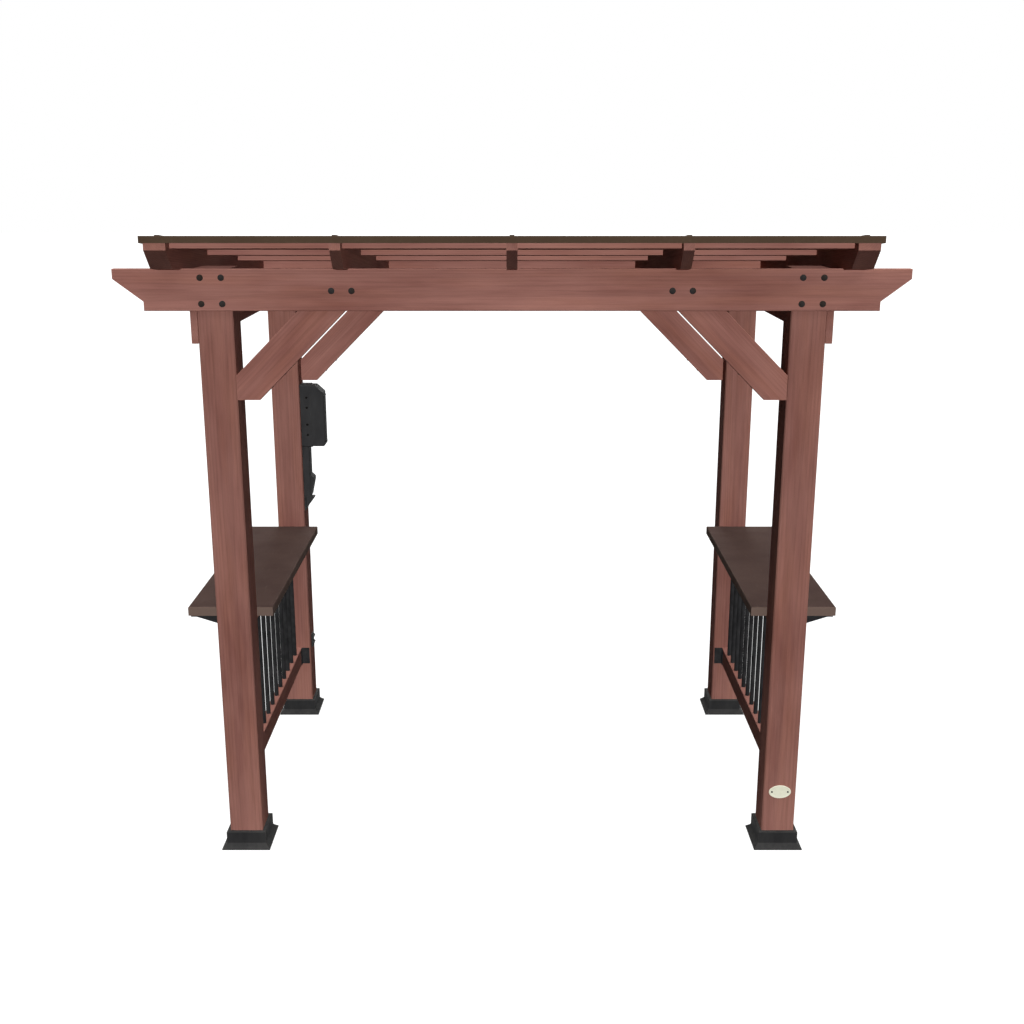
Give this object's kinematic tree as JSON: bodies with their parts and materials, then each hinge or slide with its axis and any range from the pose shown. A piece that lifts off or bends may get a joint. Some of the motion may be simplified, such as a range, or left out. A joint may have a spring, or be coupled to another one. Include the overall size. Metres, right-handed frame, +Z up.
{
  "type": "grill gazebo",
  "caption": "Open timber grill shelter with a metal roof that falls to the back, knee braces, and a side counter over a baluster panel at each end.",
  "frame": {"origin": "on the ground, under the middle of the roof's outline", "axes": "+X to the right seen from the front, +Y from the front to the back, +Z up"},
  "size_m": [3.067, 1.869, 2.6229],
  "materials": {
    "stained_wood": "semi-transparent red brown stain",
    "roof_metal": "dark brown baked paint",
    "counter_metal": "dark brown powder coat, fine texture",
    "black_metal": "black powder coat",
    "black_plastic": "black moulded plastic, satin",
    "pale_enamel": "off-white enamel of a small bare plate"
  },
  "bodies": {
    "root": {"back_beam": "stained_wood", "back_left_brace": "stained_wood", "back_left_post": "stained_wood", "back_left_post_cover": "black_plastic", "back_right_brace": "stained_wood", "back_right_post": "stained_wood", "back_right_post_cover": "black_plastic", "cable_clip": "black_plastic", "cable_holder": "black_plastic", "centre_rafter": "stained_wood", "counter_brackets": "black_metal", "front_beam": "stained_wood", "front_left_brace": "stained_wood", "front_left_post": "stained_wood", "front_left_post_cover": "black_plastic", "front_right_brace": "stained_wood", "front_right_post": "stained_wood", "front_right_post_cover": "black_plastic", "front_roof_trim": "roof_metal", "left_balusters": "black_metal", "left_bottom_rail": "stained_wood", "left_counter": "counter_metal", "left_end_rafter": "stained_wood", "left_rafter": "stained_wood", "left_side_beam": "stained_wood", "left_top_rail": "stained_wood", "outlet_base": "black_plastic", "outlet_cover": "black_plastic", "purlin_row_1": "stained_wood", "purlin_row_2": "stained_wood", "purlin_row_3": "stained_wood", "rail_hangers": "black_metal", "rake_trim": "roof_metal", "rear_blocking": "stained_wood", "rear_roof_trim": "roof_metal", "right_balusters": "black_metal", "right_bottom_rail": "stained_wood", "right_counter": "counter_metal", "right_end_rafter": "stained_wood", "right_rafter": "stained_wood", "right_side_beam": "stained_wood", "right_top_rail": "stained_wood", "roof_panel_1": "roof_metal", "roof_panel_2": "roof_metal", "roof_panel_3": "roof_metal", "roof_panel_4": "roof_metal", "seam_caps": "roof_metal"}
  },
  "joints": []
}
